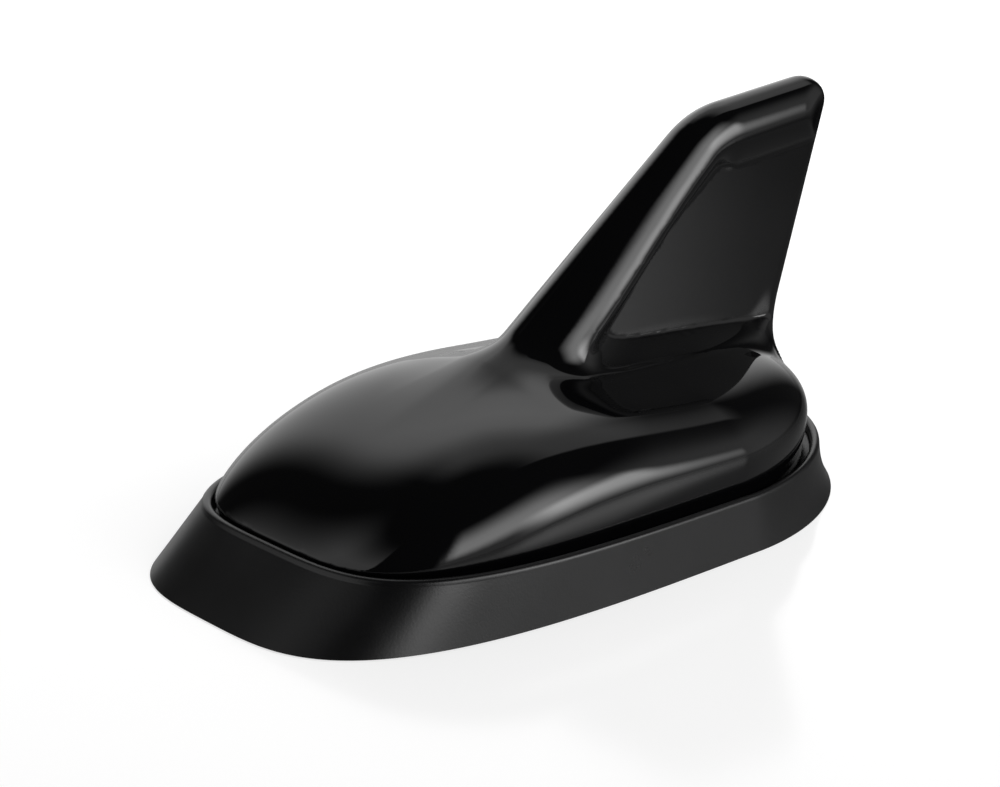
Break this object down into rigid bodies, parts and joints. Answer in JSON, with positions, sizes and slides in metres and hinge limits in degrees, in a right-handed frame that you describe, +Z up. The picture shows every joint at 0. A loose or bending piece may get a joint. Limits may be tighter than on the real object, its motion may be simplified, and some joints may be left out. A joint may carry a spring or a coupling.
{
  "type": "shark fin roof aerial",
  "caption": "Shark fin roof aerial: gloss domed cover with a swept hollow fin, rubber skirt, base plate with a threaded bush and boards inside.",
  "frame": {"origin": "middle of the underside, on the roof's surface, at the centre of the aerial's overall length", "axes": "+X towards the tail (nose at -X), +Z up from the roof, Y across; the XZ plane is the plane of symmetry"},
  "size_m": [0.1434, 0.0784, 0.0704],
  "materials": {
    "gloss_cover": "high gloss black ABS",
    "skirt_rubber": "satin black rubber",
    "plate_plastic": "fine grained black nylon",
    "steel": "zinc plated",
    "foam": "closed cell foam",
    "brass": "turned brass",
    "grommet_rubber": "matte",
    "board": "glass fibre board with green resist",
    "tinplate": "tinned",
    "chip_plastic": "moulded epoxy",
    "ferrite": "sintered ferrite",
    "can_aluminium": "drawn can",
    "ceramic_chip": "tan ceramic",
    "former_plastic": "natural nylon",
    "copper": "enamelled copper"
  },
  "bodies": {
    "root": {"cover": "gloss_cover", "skirt": "skirt_rubber", "base_plate": "plate_plastic", "cover_screws": "steel", "tape_ring": "foam", "stud_bush": "brass", "contact_lug": "brass", "bush_washer": "steel", "bush_nut": "steel", "lead_grommet": "grommet_rubber", "main_board": "board", "board_screws": "steel", "shield_can": "tinplate", "amplifier_chip": "chip_plastic", "transistor": "chip_plastic", "filter_chokes": "ferrite", "smoothing_capacitor": "can_aluminium", "chip_capacitors": "ceramic_chip", "coil_former": "former_plastic", "loading_coil": "copper", "lead_socket": "former_plastic", "socket_pins": "brass", "fin_header": "chip_plastic", "fin_board": "board", "fin_element": "copper", "fin_pads": "foam"}
  },
  "joints": []
}
